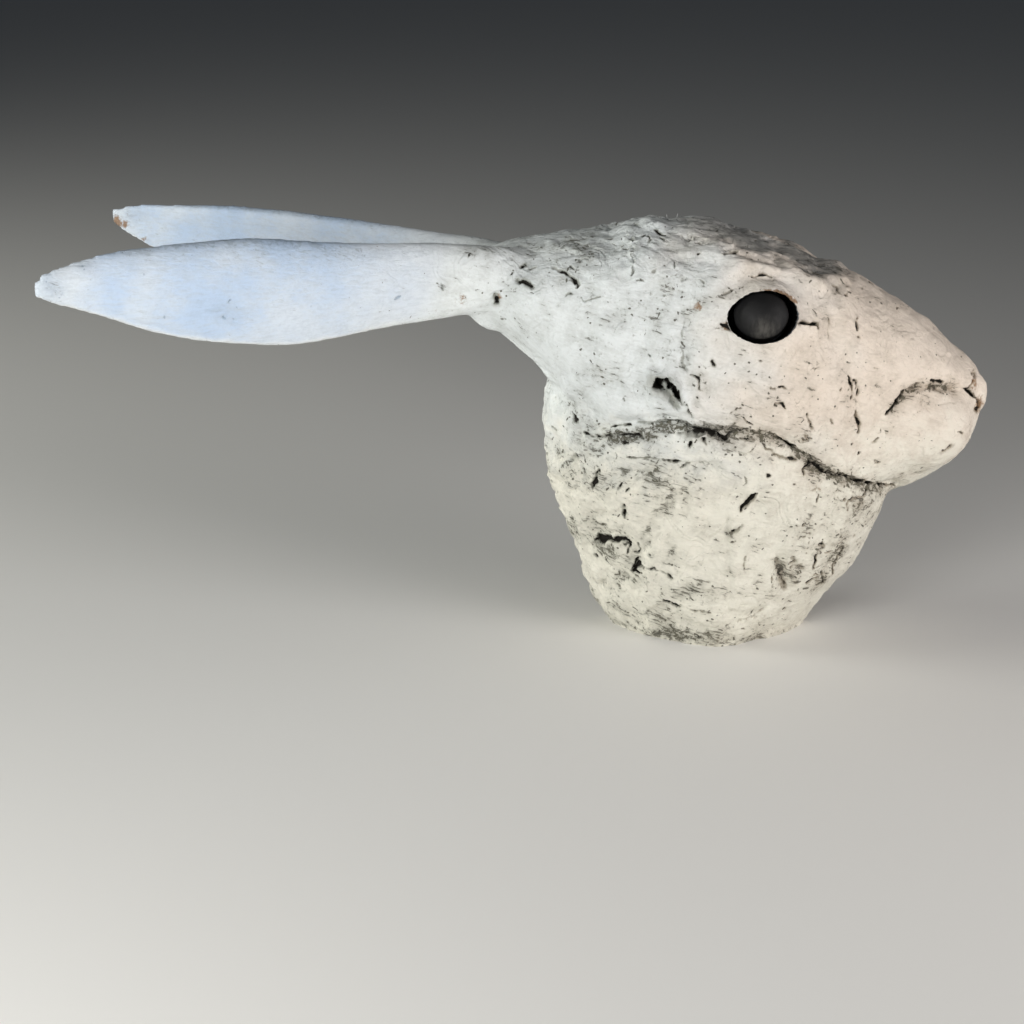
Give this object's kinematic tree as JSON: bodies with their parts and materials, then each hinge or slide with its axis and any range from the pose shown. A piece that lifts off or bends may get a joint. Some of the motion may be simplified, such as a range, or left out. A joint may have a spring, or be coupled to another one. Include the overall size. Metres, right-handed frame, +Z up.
{
  "type": "ceramic rabbit head sculpture",
  "caption": "Hand-built ceramic rabbit's head that stands on its flat-cut neck, with long blade-shaped ears laid back and dark ball eyes set behind lids.",
  "frame": {"origin": "middle of the neck's flat underside", "axes": "+X forward, the way the nose points, with the ears running back along -X; +Y to the rabbit's left; +Z up"},
  "size_m": [0.5207, 0.2, 0.2445],
  "materials": {
    "slipped_clay": "matt white slip over stoneware, rubbed with a dark stain in its marks, pale blue wash on the ears",
    "charcoal_clay": "smooth charcoal clay with a dull satin surface"
  },
  "bodies": {
    "root": {"rabbit_head": "slipped_clay", "right_eye": "charcoal_clay", "left_eye": "charcoal_clay"}
  },
  "joints": []
}
